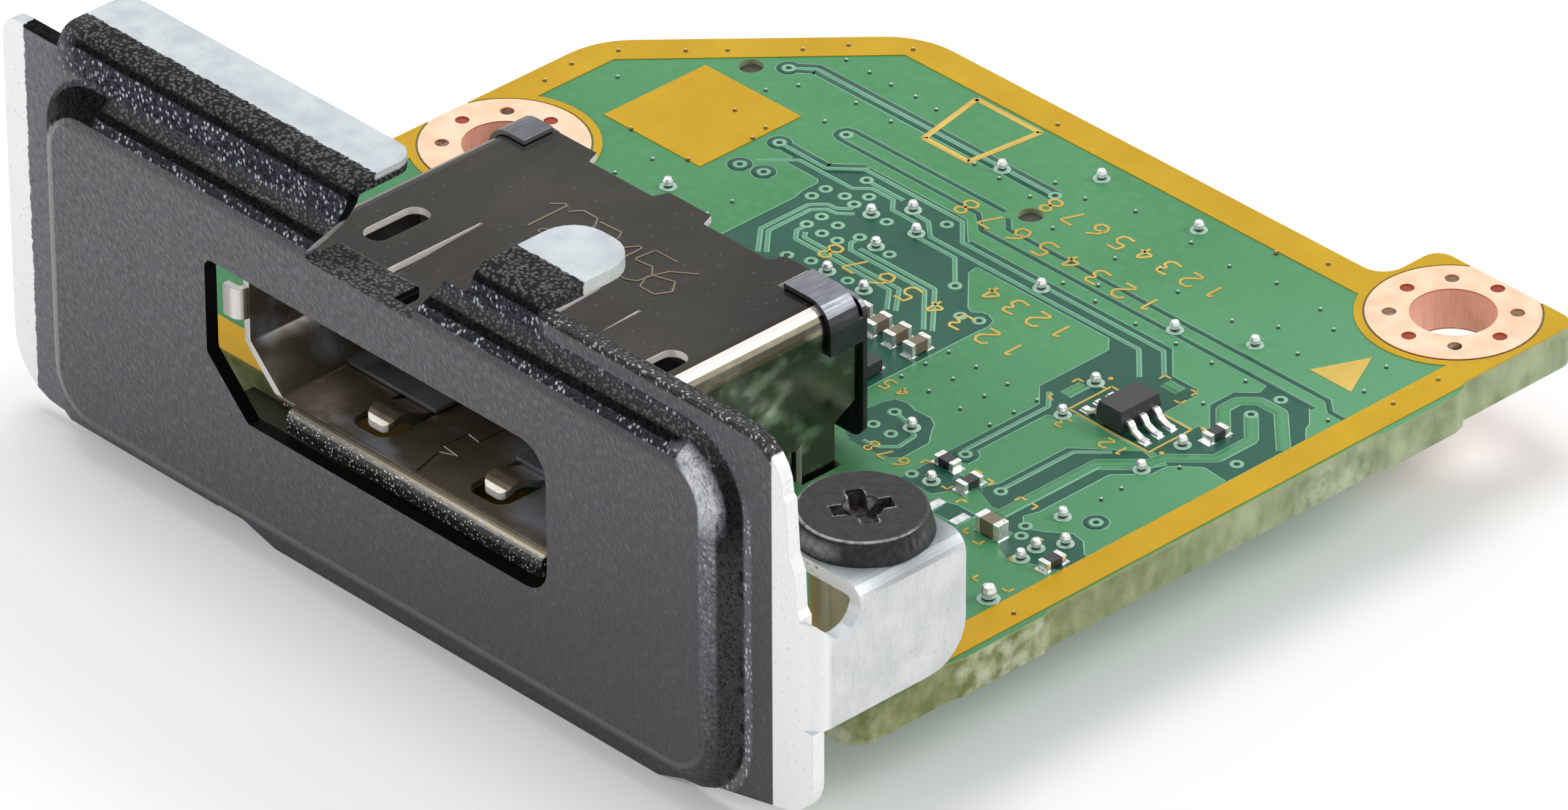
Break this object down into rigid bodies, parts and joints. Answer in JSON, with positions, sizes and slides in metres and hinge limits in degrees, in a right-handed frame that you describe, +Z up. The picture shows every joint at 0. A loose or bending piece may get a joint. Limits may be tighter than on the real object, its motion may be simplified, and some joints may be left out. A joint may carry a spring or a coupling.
{
  "type": "video port module",
  "caption": "Small board with a panel video receptacle behind a folded metal bracket, mounting holes and a board-to-board plug underneath.",
  "frame": {"origin": "axis of the rear mounting hole at the underside of the board", "axes": "+X along the bracket plate, +Y away from the plate, +Z up out of the board's component side"},
  "size_m": [0.0419, 0.0392, 0.017],
  "materials": {
    "bracket_paint": "fine dark grey paint over bare zinc edges",
    "screw_black": "satin black, worn bright at the edges",
    "standoff_brass": "turned, dull gold",
    "board_laminate": "green solder mask, satin",
    "copper_plating": "pale copper, satin",
    "gold_plating": "flat gold flash",
    "solder": "bright solder",
    "tinned_metal": "tin plated",
    "shell_steel": "nickel plated, polished",
    "cover_steel": "brushed",
    "insulator_plastic": "moulded black",
    "contact_gold": "gold plated",
    "capacitor_ceramic": "tan ceramic",
    "resistor_film": "black glaze",
    "chip_plastic": "moulded black",
    "plug_plastic": "moulded dark brown"
  },
  "bodies": {
    "root": {"bracket": "bracket_paint", "bracket_screw": "screw_black", "standoff": "standoff_brass", "circuit_board": "board_laminate", "mounting_hole_plating": "copper_plating", "ground_plating": "gold_plating", "solder_lands": "solder", "test_point_solder": "solder", "receptacle_shell": "shell_steel", "rear_cover": "cover_steel", "receptacle_insulator": "insulator_plastic", "upper_contacts": "contact_gold", "lower_contacts": "contact_gold", "shell_foot_solder": "solder", "capacitor_bodies": "capacitor_ceramic", "capacitor_terminals": "tinned_metal", "resistor_bodies": "resistor_film", "resistor_terminals": "tinned_metal", "logic_chip_body": "chip_plastic", "logic_chip_leads": "tinned_metal", "filter_chip_body": "chip_plastic", "filter_chip_pads": "tinned_metal", "board_plug_housing": "plug_plastic", "board_plug_contacts": "contact_gold", "board_plug_anchors": "tinned_metal"}
  },
  "joints": []
}
